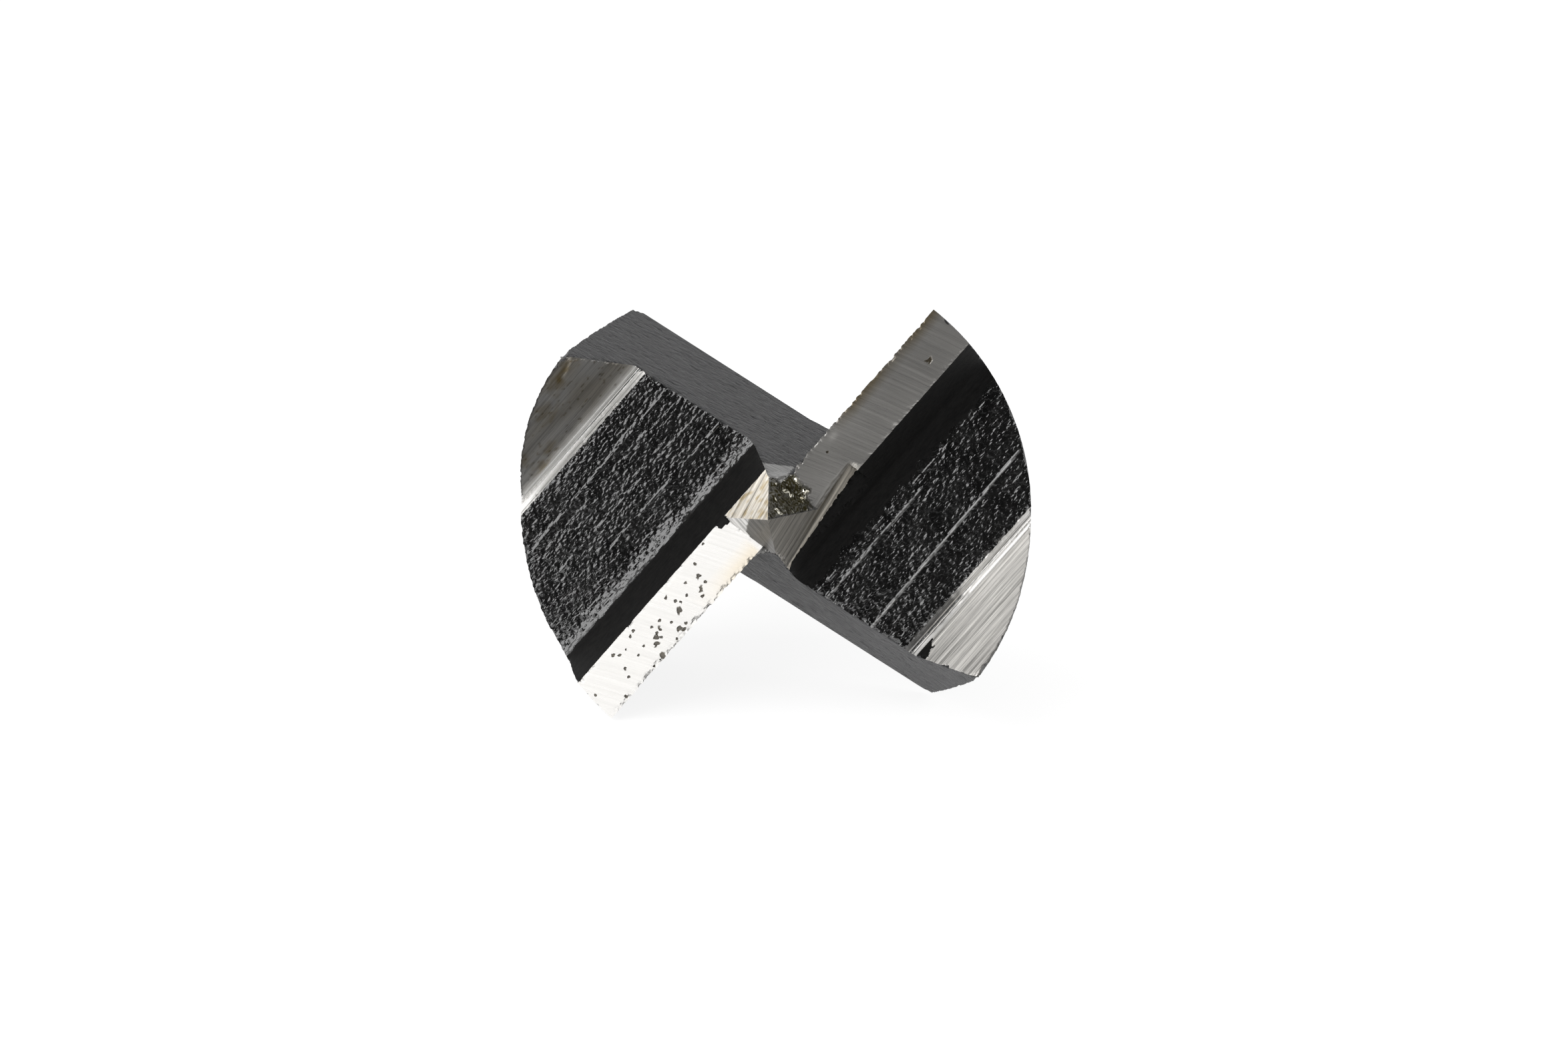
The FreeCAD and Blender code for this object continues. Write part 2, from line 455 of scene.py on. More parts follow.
skin.transform(laid)


def into_scene(name, data):
    """A new object in the scene."""
    made = bpy.data.objects.new(name, data)
    bpy.context.scene.collection.objects.link(made)
    return made


bit = into_scene("forged_bit", skin)


# ---- Marks of forging, grinding and use ----
# The floors are raw forging scale with fine ridges from the die. The lands, spur bevels and point are
# ground, one cut each, and carry pits, stains and a smear of burnt pitch; every edge is nicked by use.
# Some faces also carry painted highlights and painted shade in their brightness.

x, y, z = skin_points.T
count = len(skin_points)
wing = np.where(y - x * 0.2 > 0, 1, -1)
first_wing = wing > 0
out_x = x * wing
out_y = y * wing


def patchy(size, seed):
    """Smooth noise over the skin, about -1 to 1, in patches of the given size."""
    where = skin_points * (1 / size) + seed * 17.3
    return np.array([noise.noise(spot) for spot in where.tolist()]) * 1.6


def fade(distance, reach=1):
    """0 where the distance is nothing or less, 1 from the reach on."""
    return np.clip(distance / reach, 0, 1)


def stripe(off, width):
    """1 on a line, falling away on both sides of it over about its width."""
    return np.exp(-((off / width) ** 2))


def triangles_on(*names):
    """Which triangles of the skin belong to the named parts."""
    return np.isin(triangle_parts, numbered(*names))


def on_part(*names):
    """Points of the skin that belong to the named parts, borders included."""
    hit = np.zeros(count, bool)
    hit[skin_triangles[triangles_on(*names)].ravel()] = True
    return hit


def inside(*names):
    """Points that belong to the named parts and to no other."""
    hit = on_part(*names)
    hit[skin_triangles[~triangles_on(*names)].ravel()] = False
    return hit


rough_noise = patchy(0.55, 1)
wide_noise = patchy(2.4, 2)
fine_noise = patchy(0.3, 3)

# Forging scale: how grainy each point is. The grain stops short of the step, raggedly on the second wing,
# and is coarsest along its start on the first
first_start = 4.1
second_start = 5.35
floors = on_part("floor", "floor_hollow")
grain_start = np.where(first_wing, first_start, second_start + 0.25 * rough_noise)
grain = fade(out_y - grain_start, 0.25) * floors
grain = np.maximum(grain, 0.10 * on_part("wall", "floor", "floor_hollow"))
grain *= 1 + 2.0 * first_wing * stripe(out_y - 4.65, 0.45) - 0.12 * first_wing

# Die ridges along the floors: wing, place at the outer and inner end, reach along x, height, width, gaps,
# and how strong the painted highlight along the crest is
ridges = [
    (1, 6.75, 6.75, -10, 3, 0.03, 0.09, 0.5, 0.35),
    (1, 8.3, 8.3, -14, 3, 0.025, 0.09, 0.7, 0.3),
    (1, 10.62, 11.0, -15, 3, 0.025, 0.14, 0.25, 0.25),
    (1, 10.1, 10.4, -15, 3, -0.015, 0.25, 0.2, 0.0),
    (-1, 5.85, 5.85, -16, 3, 0.03, 0.08, 0.8, 0.4),
    (-1, 6.4, 6.6, -9, 3, 0.06, 0.07, 0.3, 1.0),
    (-1, 9.75, 10.2, -15, 3, 0.06, 0.07, 0.2, 1.0),
    (-1, 13.0, 13.0, -10, 1.2, 0.04, 0.08, 0.4, 0.7),
]
carved = np.zeros(count)
crest = np.zeros(count)
for side, outer, inner, start, end, height, width, gaps, crest_highlight in ridges:
    place = outer + (inner - outer) * fade(out_x + 15, 17) + 0.02 * wide_noise + 0.012 * rough_noise
    there = fade(out_x - start, 1.5) * fade(end - out_x, 0.8)
    there *= fade(1 - gaps * (0.6 - 1.4 * rough_noise))
    ridge = floors * (wing == side) * there * stripe(out_y - place, width)
    carved += height * ridge
    crest = np.maximum(crest, crest_highlight * ridge)
carved += floors * grain * 0.03 * wide_noise

pit_depth = 0.07
pitted = np.zeros(count)
pitted[pit_floors] = 1
carved -= pit_depth * pitted
pitted = np.maximum(pitted, first_wing * inside("spur") * np.clip((fine_noise - 0.75) * 4, 0, 0.5))

# The wheel left a hollow where each spur bevel meets the forging
up_bevel = out_y - valley_y
off = np.where(up_bevel > 0, up_bevel / 0.55, -up_bevel / 0.45)
carved += inside("spur", "valley", "valley_hollow") * 0.13 * fade(1 - off) ** 2

# Pitch burnt onto the point's fourth facet and the land beside it
facet_turn = math.radians(gash_turn + 90)
past_edges = np.minimum(x - y, x * (1 - math.sin(facet_turn)) + y * math.cos(facet_turn))
pitch_x = 1.15
pitch_r = 1.75
from_root = np.hypot((x - pitch_x) / pitch_r, y / pitch_r) + 0.16 * rough_noise
pitch = fade(1.1 - from_root, 0.12) * fade(past_edges, 0.08) * on_part("point", "land")
carved += pitch * (0.06 + 0.11 * rough_noise + 0.07 * fine_noise)

# Nicks: a point near a sharp edge may be moved inwards, against the edge's own normal, or towards the
# bit's axis along the rim. Edges that other steel sheltered are nicked less
edge_reach = 0.4
sharp = 0.45  # radians
calm_edges = {("land", "wall"): 0.3, ("land", "point"): 0.1, ("land", "web"): 0.1, ("gash_foot", "land"): 0.3}
coarse = set(numbered("back", "stem", "stem_end", "floor_hollow", "valley_hollow"))
rim_number, back_number = numbered("rim", "back_edge")
shell = bmesh.new()
shell.from_mesh(skin)
shell.verts.ensure_lookup_table()
part_layer = shell.faces.layers.int["part"]
edge_share = {}
at_rim = set()
for edge in shell.edges:
    pair = [face[part_layer] for face in edge.link_faces]
    if pair[0] != pair[1] and not coarse & set(pair) and edge.calc_face_angle() > sharp:
        share = calm_edges.get(tuple(sorted(part_names[i] for i in pair)), 1.0)
        for corner in edge.verts:
            edge_share[corner.index] = min(share, edge_share.get(corner.index, share))
            if rim_number in pair and back_number not in pair:
                at_rim.add(corner.index)
edge_points = sorted(edge_share)
inwards = -np.array([corner.normal for corner in shell.verts])
for point in at_rim:
    inwards[point] = -(lip_way * x[point] + wing_way * y[point]).normalized()
    edge_share[point] *= 0.75
shell.free()
near_edge = kdtree.KDTree(len(edge_points))
for i, point in enumerate(edge_points):
    near_edge.insert(skin_points[point].tolist(), i)
near_edge.balance()
edge_wear = np.zeros(count)
edge_way = np.zeros((count, 3))
for i, spot in enumerate(skin_points.tolist()):
    found = near_edge.find(spot)
    if found[2] < edge_reach:
        point = edge_points[found[1]]
        edge_wear[i] = (1 - found[2] / edge_reach) ** 2 * edge_share[point]
        edge_way[i] = inwards[point]

# Larger chips knocked out of the rim: wing, place, reach, depth
rim_chips = [
    (1, -1.1, 17.4, 0.45, 0.30), (1, -1.9, 17.3, 0.3, 0.16), (-1, -1.0, 17.3, 0.4, 0.2),
    (-1, -1.9, 17.3, 0.45, 0.22), (-1, -2.9, 17.2, 0.3, 0.14), (-1, -7.4, 15.9, 0.25, 0.1),
]
chip = np.zeros(count)
for side, at_x, at_y, reach, depth in rim_chips:
    off = np.hypot(out_x - at_x, out_y - at_y) / reach + 0.2 * fine_noise
    chip = np.maximum(chip, (wing == side) * (z > -3) * depth * fade(1.1 - off))
chip *= fade(edge_wear * 3)

# The places that the bit rests on stay as they are
for foot in ((-17.47, -0.95, 0), (17.47, 0.95, 0)):
    edge_wear *= fade(np.linalg.norm(skin_points - foot, axis=1) / 0.8 - 0.5)
off_table = (skin_points @ np.array((lip_way.z, wing_way.z, point_way.z))) + lip_middle.z
for values in (edge_wear, carved, grain):
    values *= fade(off_table / 0.5 - 0.3)


def mark(domain, **marks):
    """Stores values on the skin as named attributes."""
    for name, values in marks.items():
        kind, field = ("FLOAT_VECTOR", "vector") if values.ndim > 1 else ("FLOAT", "value")
        made = skin.attributes.new(name, kind, domain)
        made.data.foreach_set(field, values.astype(np.float32).ravel())


mark("POINT", grain=grain, carved=carved, edge_wear=edge_wear, chip=chip, edge_way=edge_way, crest=crest)
mark("POINT", flute_wear=inside("flute", "flute_hollow", "rake") * 1.0)

# Where each grinding line runs: along it and across it in millimetres, for every corner of every triangle
corner_points = np.zeros(len(skin.loops), np.int32)
skin.loops.foreach_get("vertex_index", corner_points)
corner_parts = np.repeat(triangle_parts, 3)
side = np.repeat(wing[skin_triangles[:, 0]], 3)
cx, cy, cz = skin_points[corner_points].T
middle_x, middle_y = (np.repeat(axis[skin_triangles].mean(1), 3) for axis in (x, y))


def corners_on(*names):
    """Which corners of the triangles belong to the named parts."""
    return np.isin(corner_parts, numbered(*names))


on_land = corners_on("land")
on_spur = corners_on("spur")
on_point = corners_on("point")
in_flute = corners_on("flute", "flute_hollow", "rake")
normals = np.zeros(len(skin.polygons) * 3, np.float32)
skin.polygons.foreach_get("normal", normals)
normals = normals.reshape(-1, 3) @ np.array((lip_way, wing_way, point_way)).T
facet = np.repeat(np.argmax(normals @ np.array(facet_ways).T, axis=1), 3)

# The way of the lines in degrees from the lips, on each part and on the point's four facets
line_way = np.zeros(len(corner_parts))
for name, angle in (("land", -69), ("gash_foot", 9), ("gash_end", 9), ("web", 20)):
    line_way[corners_on(name)] = angle
line_way[on_land & (middle_x > 0) & (middle_y < -1.5) & (middle_x < 6.3)] = 9
line_way[on_point] = np.array((-94, 13, -99, 9))[facet][on_point]
line_way = np.radians(line_way)
bend = np.where(on_land, 0.008, 0.0)
along = cx * np.cos(line_way) + cy * np.sin(line_way)
across = cy * np.cos(line_way) - cx * np.sin(line_way) + bend * along**2
along = np.where(in_flute, cy * math.cos(flute_skew) - cx * math.sin(flute_skew) + 0.35 * cz, along)
across = np.where(in_flute, cz - 0.35 * cy, across)
round_parts = corners_on("rim", "back_edge", "stem", "stem_end", "back")
along = np.where(round_parts, np.arctan2(cy, cx) * 4, along)
across = np.where(round_parts, cz, across)
across = np.where(corners_on("back", "stem_end"), np.hypot(cx, cy), across)
mark("CORNER", grinding=np.stack((along, across, corner_parts * 3.7 + side), 1))

# How bright, how matt, how stained and how smeared each corner is; first how bright and matt each part is.
# The brightness of the parts is partly painted light: the steel is made lighter or darker by how the light
# falls on each face
ground_looks = [
    (("land",), 1.12, 0.3),
    (("spur",), 0.95, 0.58),
    (("valley", "valley_hollow"), 1.25, 0.2),
    (("point",), 1.0, 0.8),
    (("gash_foot",), 0.75, 0.7),
    (("gash_end",), 0.3, 0.7),
    (("web",), 0.5, 0.7),
    (("flute", "flute_hollow", "rake"), 0.42, 0.8),
]
bright = np.ones(len(corner_parts))
matt = np.zeros(len(corner_parts))
stain = np.zeros(len(corner_parts))
for names, how_bright, how_matt in ground_looks:
    bright[corners_on(*names)] = how_bright
    matt[corners_on(*names)] = how_matt
patch_noise = 0.5 + 0.5 * wide_noise[corner_points]
speck = 0.5 + 0.5 * rough_noise[corner_points]
ox = cx * side
oy = cy * side
up_bevel = oy - valley_y

# The first land is bright, creamy towards the centre; the second is painted darker grey as painted shade,
# olive towards the rim
first_land = on_land & (middle_x < 0)
other_land = on_land & (middle_x > 0)
cream = 1.25 * fade(0.45 - cy, 1.0) * fade(cx + 8, 2) * fade(-(cx + 2.2), 0.3)
cream *= first_land * fade(0.5 + patch_noise)
stain += 0.36 * cream
bright *= 1 + 0.28 * cream
olive = fade(cy - 0.1, 0.7) * fade(cx - 7, 2)
stain += other_land * (0.65 * olive * fade(patch_noise + 0.2) + 0.08)
# Painted shade: the second land is made a darker grey than the first
bright = np.where(other_land, 0.74 + 0.16 * patch_noise, bright)
matt[other_land] = 0.36
pale = np.zeros(len(corner_parts))
for at_x, at_y, long, wide in ((-6.7, -0.4, 0.35, 0.22), (-8.5, -0.95, 0.3, 0.12)):
    pale += np.exp(-(((ox - at_x) / long) ** 2) - ((oy - at_y) / wide) ** 2)
bright += other_land * 0.45 * pale

# The second spur bevel is painted brighter than the first as painted light; the first is stained above its foot
second_spur = on_spur & (middle_y < 0)
above = fade(up_bevel - 0.3 - 0.12 * speck, 0.25) * (middle_y > 0) * on_spur
bright += second_spur * 0.45
matt += second_spur * 0.27
bright *= 1 - 0.15 * above
stain += above * 0.35 * fade(patch_noise * 1.6 - 0.3)
stain += second_spur * 0.09
# Brown spots and pale scratches on the first spur: place along the lip and up the bevel, reach, amount
spur_spots = [
    (-8.3, 0.45, 0.8, 0.5, 0.6), (-7.0, 0.9, 0.6, 0.35, 0.4), (-5.0, 2.6, 0.9, 0.7, 0.45),
    (-3.0, 3.0, 0.8, 0.4, 0.4), (-8.6, 1.6, 0.5, 0.5, 0.4), (-2.0, 3.4, 1.0, 0.25, 0.5),
]
for at_x, at_up, long, wide, amount in spur_spots:
    off = np.hypot((ox - at_x) / long, (up_bevel - at_up) / wide) + 1.1 * (speck - 0.5)
    stain += on_spur * (side > 0) * amount * fade(1.2 - off)
scratch = stripe(up_bevel - 3.3 - 0.25 * (ox + 1.5), 0.07) * fade(1.5 - np.abs(ox + 1.5) * 1.6)
bright += on_spur * (side > 0) * 1.3 * scratch
# A painted highlight: a bright strip along the foot of each bevel, which the second wing has only partly;
# beyond it that foot is darker
at_foot = corners_on("spur", "valley", "valley_hollow")
kept = np.where(side < 0, fade(-(ox + 3.0 + speck), 0.8), 1)
painted_foot_highlight = at_foot * kept * fade(0.42 + 0.08 * (speck - 0.5) - up_bevel, 0.3)
bright += (1.85 - bright) * painted_foot_highlight
matt += (0.82 - matt) * painted_foot_highlight
lost = at_foot * (1 - kept) * fade(0.12 - up_bevel + 0.15 * speck, 0.08)
bright += (0.36 - bright) * lost
matt += (0.92 - matt) * at_foot * (1 - kept) * fade(0.75 - up_bevel, 0.2)
# Dark, broken skin along the rim of each spur
from_rim = head_r - np.hypot(cx, cy)
edge_dirt = 0.06 + 0.5 * speck * np.where(side < 0, np.clip(1 - np.abs(ox + 2.3) / 2.2, 0.25, 1), 0.25)
bright *= 1 - 0.8 * on_spur * fade(edge_dirt - from_rim, 0.08)

# The wheel that turned the point's fourth facet also took the foot of the second land
band = other_land & (cy < -1.45 - 0.03 * (cx - 2) - fade(cx - 6.0) * 0.9) & (cx < 6.35)
band |= other_land & (cy < -1.2 - 0.12 * cx) & (cx < 2.2)
bright[band] = 0.62
matt[band] = 0.7
# Painted shade: the lower flute is made darker towards the bit's centre
shaded_lower_flute = in_flute & (middle_y < 0)
bright[shaded_lower_flute] *= (0.28 + 0.72 * fade(np.hypot(cx, cy) - 3.0, 9.0))[shaded_lower_flute]
# Painted light: the point's four ground facets are lighter or darker by how each faces the light, the second as
# a painted highlight
bright[on_point] = np.array((0.3, 2.6, 0.36, 0.84))[facet][on_point]
stain += on_point * (facet == 1) * (0.36 + 0.45 * fade(speck * 2.2 - 1.0))
stain += on_point * (facet > 1) * 0.28
# A dark double streak runs down the fourth facet and the band, and beyond it they catch the light
ran = band | (on_point & (facet == 3))
from_streak = cy + 2.587 - 0.1727 * cx
streak = (stripe(from_streak, 0.10) + 0.7 * stripe(from_streak - 0.26, 0.05)) * fade(cx + 0.5, 2)
lit = fade(-(from_streak + 0.10), 0.12)
bright[ran] *= (1 + 1.25 * lit - 0.5 * streak)[ran]
stain[ran] += (0.10 * lit + 0.3 * streak)[ran]
# The first land's grinding ran on over the foot of the point's third facet, which is painted bright there as a
# painted highlight like the land's
edge_x = np.where(cy < 0.6, -1.92 - 0.34 * (0.6 - cy), -0.92 + (cy - 0.99) / 0.39)
run_over = on_point & (facet == 2) & (cx < edge_x + 0.1 * (speck - 0.5))
bright[run_over] = 1.95
matt[run_over] = 0.95
stain[run_over] = 0.0

smear = pitch[corner_points] * (on_land | on_point)
pits_here = pitted[corner_points] * (on_land | on_spur)
bright *= 1 - 0.72 * pits_here
stain = np.clip(stain + 0.7 * pits_here, 0, 1)
# Brightness with its painted highlights and painted shade, stains and pitch, kept on each corner
mark("CORNER", wear=np.stack((bright, stain, smear), 1))
mark("CORNER", bare=(1 - smear) * (1 - fade(matt + pits_here)))


# ---- Finishes ----
# Black scale on the forged faces, black oxide in the flutes and on the turned back and shank, and bare
# steel where the bit was ground after blackening.
def node(tree, kind, inputs=None, **settings):
    """A new node with its settings, and numbers, colours or other nodes' sockets on its inputs."""
    made = tree.nodes.new(kind)
    for key, value in settings.items():
        setattr(made, key, value)
    for key, value in (inputs or {}).items():
        if isinstance(value, bpy.types.NodeSocket):
            tree.links.new(value, made.inputs[key])
        else:
            made.inputs[key].default_value = value
    return made


def worked(tree, operation, *numbers):
    """One sum on two or three numbers."""
    return node(tree, "ShaderNodeMath", dict(enumerate(numbers)), operation=operation).outputs[0]


def vectors(tree, operation, first, second):
    """One sum on two vectors or colours."""
    return node(tree, "ShaderNodeVectorMath", {0: first, 1: second}, operation=operation).outputs[0]


def scaled(tree, vector, factor):
    """A vector or colour times a number."""
    return node(tree, "ShaderNodeVectorMath", {0: vector, "Scale": factor}, operation="SCALE").outputs[0]


def read(tree, name, output="Fac"):
    """Reads a named attribute of the skin in a material."""
    return node(tree, "ShaderNodeAttribute", attribute_name=name).outputs[output]


def streaks(tree, source, scale, detail=3.0, rough=0.6):
    """Noise read from a named attribute of the skin, stretched by the given scale."""
    place = node(tree, "ShaderNodeMapping", {"Vector": read(tree, source, "Vector"), "Scale": scale}).outputs[0]
    inputs = {"Vector": place, "Scale": 1.0, "Detail": detail, "Roughness": rough}
    return node(tree, "ShaderNodeTexNoise", inputs).outputs["Fac"]


def between(tree, fac, low, high, start=0.3, end=0.7):
    """A number that runs from low to high as fac runs from start to end."""
    inputs = {"Value": fac, "From Min": start, "From Max": end, "To Min": low, "To Max": high}
    return node(tree, "ShaderNodeMapRange", inputs).outputs[0]


def blend(tree, fac, low, high):
    """A colour between two colours or colour sockets."""
    low, high = (value if isinstance(value, bpy.types.NodeSocket) else (*value, 1) for value in (low, high))
    return node(tree, "ShaderNodeMix", {0: fac, 6: low, 7: high}, data_type="RGBA").outputs[2]


def finish(name, rough, metal, shine, ior=1.5):
    """A new material with its shader's even values set."""
    made = bpy.data.materials.new(name)
    made.use_nodes = True
    shader = made.node_tree.nodes["Principled BSDF"]
    even = {"Roughness": rough, "Metallic": metal, "Specular IOR Level": shine, "IOR": ior}
    for socket, value in even.items():
        shader.inputs[socket].default_value = value
    return made, made.node_tree


def lay(made, heights, **values):
    """Gives a material fine relief, as pairs of height and depth in millimetres, and its varied values."""
    tree = made.node_tree
    shader = tree.nodes["Principled BSDF"]
    for name, value in values.items():
        tree.links.new(value, shader.inputs[name.replace("_", " ").title()])
    below = {}
    for height, depth in heights:
        inputs = {"Height": height, "Distance": depth / 1000, "Strength": 1.0, **below}
        below = {"Normal": node(tree, "ShaderNodeBump", inputs).outputs[0]}
    tree.links.new(below["Normal"], shader.inputs["Normal"])
    return made


def scale_finish():
    made, tree = finish("forging_scale", 0.22, 0.0, 0.5, 2.0)
    crust = streaks(tree, "spot", (3.8, 6.0, 6.0), 1.0, 0.5)
    patch = streaks(tree, "spot", (0.5, 0.7, 0.7), 2.0)
    colour = blend(tree, between(tree, patch, 0, 1), (0.005, 0.005, 0.005), (0.010, 0.0098, 0.0095))
    # A painted highlight: the scale is lighter grey along the die ridges' crests
    crest_highlight = between(tree, read(tree, "crest"), 0, 1, 0.3, 0.9)
    colour = blend(tree, crest_highlight, colour, (0.30, 0.295, 0.285))
    rough = between(tree, patch, 0.10, 0.20)
    return lay(made, [(crust, 0.032)], base_color=colour, roughness=rough)


def soot_finish():
    made, tree = finish("soot_black", 0.6, 0.0, 0.12)
    crust = streaks(tree, "spot", (1.6, 6.0, 3.0), 4.0, 0.65)
    colour = blend(tree, between(tree, crust, 0, 1), (0.004, 0.004, 0.004), (0.012, 0.0115, 0.011))
    return lay(made, [(crust, 0.03)], base_color=colour)


def ground_finish():
    made, tree = finish("ground_steel", 0.3, 1.0, 0.5)
    wear = node(tree, "ShaderNodeSeparateXYZ", {0: read(tree, "wear", "Vector")})
    how_bright, how_stained, smeared = wear.outputs
    bare = read(tree, "bare")
    lines = streaks(tree, "grinding", (0.12, 7.0, 1.0), 4.0, 0.75)
    hair = streaks(tree, "grinding", (0.3, 22.0, 1.0), 2.0, 0.6)
    scores = streaks(tree, "grinding", (0.07, 5.5, 1.0), 5.0, 0.8)
    # On matt faces the deeper lines show light and dark; mirrorlike ones hardly show them
    matt = between(tree, bare, 1.0, 0.0, 0.1, 0.75)
    scored = worked(tree, "MULTIPLY_ADD", between(tree, scores, -0.8, 0.7, 0.34, 0.66), matt, 1.0)
    colour = blend(tree, between(tree, lines, 0, 1, 0.35, 0.65), (0.45, 0.442, 0.43), (0.52, 0.512, 0.495))
    # The brightness read here holds painted highlights and painted shade as well as stains and pits
    colour = scaled(tree, colour, worked(tree, "MULTIPLY", scored, how_bright))
    tint = blend(tree, how_stained, (1.0, 1.0, 1.0), (0.42, 0.30, 0.10))
    colour = blend(tree, smeared, vectors(tree, "MULTIPLY", colour, tint), (0.040, 0.034, 0.014))
    # The burnt pitch is crazed, and bare steel glints through it here and there
    crazed = streaks(tree, "spot", (1.8, 1.8, 1.8), 1.0)
    glint = worked(tree, "MULTIPLY", between(tree, crazed, 0, 1, 0.60, 0.64), smeared)
    colour = blend(tree, glint, colour, (0.8, 0.77, 0.66))
    metal = worked(tree, "MAXIMUM", bare, glint)
    rough = worked(tree, "MULTIPLY_ADD", smeared, -0.22, between(tree, lines, 0.24, 0.40))
    crazed = worked(tree, "MULTIPLY", crazed, smeared)
    heights = [(lines, 0.004), (hair, 0.003), (crazed, 0.35)]
    return lay(made, heights, base_color=colour, metallic=metal, roughness=rough)


def flute_finish():
    made, tree = finish("flute_oxide", 0.5, 0.0, 0.4)
    drag = streaks(tree, "grinding", (1.3, 2.6, 1.0), 4.0, 0.65)
    holes = streaks(tree, "grinding", (1.5, 2.2, 2.0), 2.0, 0.5)
    patch = streaks(tree, "spot", (0.25, 0.25, 0.25), 2.0)
    # The corners' brightness here is the flute's tone with the painted shade towards the centre of the lower
    # flute
    kept = node(tree, "ShaderNodeSeparateXYZ", {0: read(tree, "wear", "Vector")}).outputs[0]
    rubbed_and_shaded = worked(tree, "MULTIPLY", between(tree, drag, 1.5, 3.3, 0.35, 0.65), kept)
    colour = blend(tree, between(tree, patch, 0, 1), (0.045, 0.0447, 0.047), (0.062, 0.0613, 0.063))
    dark = between(tree, holes, 1.0, 0.0, 0.24, 0.34)
    colour = blend(tree, dark, scaled(tree, colour, rubbed_and_shaded), (0.012, 0.012, 0.012))
    rough = between(tree, drag, 0.40, 0.60)
    return lay(made, [(drag, 0.42)], base_color=colour, roughness=rough)


def turned_finish():
    made, tree = finish("turned_oxide", 0.42, 0.0, 0.5)
    rings = streaks(tree, "grinding", (0.15, 4.0, 1.0), 3.0, 0.6)
    patch = streaks(tree, "spot", (0.15, 0.15, 0.15), 3.0)
    colour = blend(tree, between(tree, patch, 0, 1), (0.022, 0.0215, 0.022), (0.050, 0.049, 0.049))
    rough = between(tree, rings, 0.34, 0.50)
    return lay(made, [(rings, 0.014)], base_color=colour, roughness=rough)


finishes = [
    (scale_finish(), ("floor", "floor_hollow")),
    (soot_finish(), ("wall",)),
    (ground_finish(), ("land", "valley", "valley_hollow", "spur", "point", "gash_foot", "gash_end", "web")),
    (flute_finish(), ("flute", "flute_hollow", "rake")),
    (turned_finish(), ("rim", "back_edge", "back", "stem", "stem_end")),
]
soot, ground = 1, 2  # places in this list
finish_number = np.zeros(len(skin.polygons), np.int32)
for i, (made, members) in enumerate(finishes):
    skin.materials.append(made)
    finish_number[triangles_on(*members)] = i
mx, my, mz = (axis[skin_triangles].mean(1) for axis in (x, y, z))
ragged = rough_noise[skin_triangles].mean(1) * 0.25
# Below the turned facet's lower edge the step is black, and so is the floor close to each step
finish_number[triangles_on("gash_foot") & (my < 0.115 * mx - 2.856)] = soot
finish_number[triangles_on("gash_end") & (mz < -0.85)] = soot
floor_side = triangles_on("floor", "floor_hollow")
finish_number[floor_side & (my < 0) & (my > -second_start + ragged)] = soot
finish_number[floor_side & (my > 0) & (my < 4.15 + 0.3 * ragged)] = soot
# Scale left in the corner behind the first land, and black skin that the second spur's wheel didn't reach
left_over = np.hypot(mx + 2.6, (my - 2.25) * 1.3) < 0.5 + 0.9 * ragged
finish_number[left_over & triangles_on("land", "web", "point")] = soot
missed = (mx < 0.35 + ragged) & (np.abs(-my - 13.95 - 0.2 * mx) < 0.32 - 0.25 * mx + 0.7 * ragged)
finish_number[missed & triangles_on("spur")] = soot
# Beside the point the flute is ground bare
beside = triangles_on("flute", "flute_hollow") & (my > 1.0) & (my < 4)
finish_number[beside & (mx > 0) & (mz > -0.96 - (3.18 - my) * 1.626)] = ground
finish_mark = skin.attributes.new("finish", "INT", "FACE")
finish_mark.data.foreach_set("value", finish_number)


# ---- Relief ----
# The forging grain, the pores in the flutes and the nicks along the edges are one rule laid over the
# whole skin, in real relief.
relief_sizes = {
    "Grain Size": 0.23,
    "Grain Height": 0.05,
    "Pore Size": 0.28,
    "Pore Depth": 0.07,
    "Nick Size": 0.55,
    "Nick Depth": 0.75,
    "Seed": 4.0,
}
relief = bpy.data.node_groups.new("worn_steel", "GeometryNodeTree")
relief.interface.new_socket("Geometry", in_out="INPUT", socket_type="NodeSocketGeometry")
socket_of = {}
for name, value in relief_sizes.items():
    socket = relief.interface.new_socket(name, in_out="INPUT", socket_type="NodeSocketFloat")
    socket.default_value = value
    socket_of[name] = socket.identifier
relief.interface.new_socket("Geometry", in_out="OUTPUT", socket_type="NodeSocketGeometry")
entry = relief.nodes.new("NodeGroupInput").outputs
leave = relief.nodes.new("NodeGroupOutput").inputs


def named(name, kind="FLOAT"):
    """Reads a named attribute of the skin in the relief's rule."""
    made = node(relief, "GeometryNodeInputNamedAttribute", {"Name": name}, data_type=kind)
    return made.outputs["Attribute"]


def rough_field(place, size, detail):
    """The inputs of a noise in patches of a size in millimetres, with the rule's seed."""
    fineness = worked(relief, "DIVIDE", 1.0, size)
    return {"Vector": place, "W": entry["Seed"], "Scale": fineness, "Detail": detail}


def clouds(place, size, detail):
    """Soft noise, 0 to 1."""
    inputs = rough_field(place, size, detail)
    return node(relief, "ShaderNodeTexNoise", inputs, noise_dimensions="4D").outputs["Fac"]


def pebbles(place, size):
    """How far each place is from the middle of the nearest lump."""
    inputs = {**rough_field(place, size, 0.0), "Smoothness": 0.35}
    made = node(relief, "ShaderNodeTexVoronoi", inputs, voronoi_dimensions="4D", feature="SMOOTH_F1")
    return made.outputs["Distance"]


spot = named("spot", "FLOAT_VECTOR")
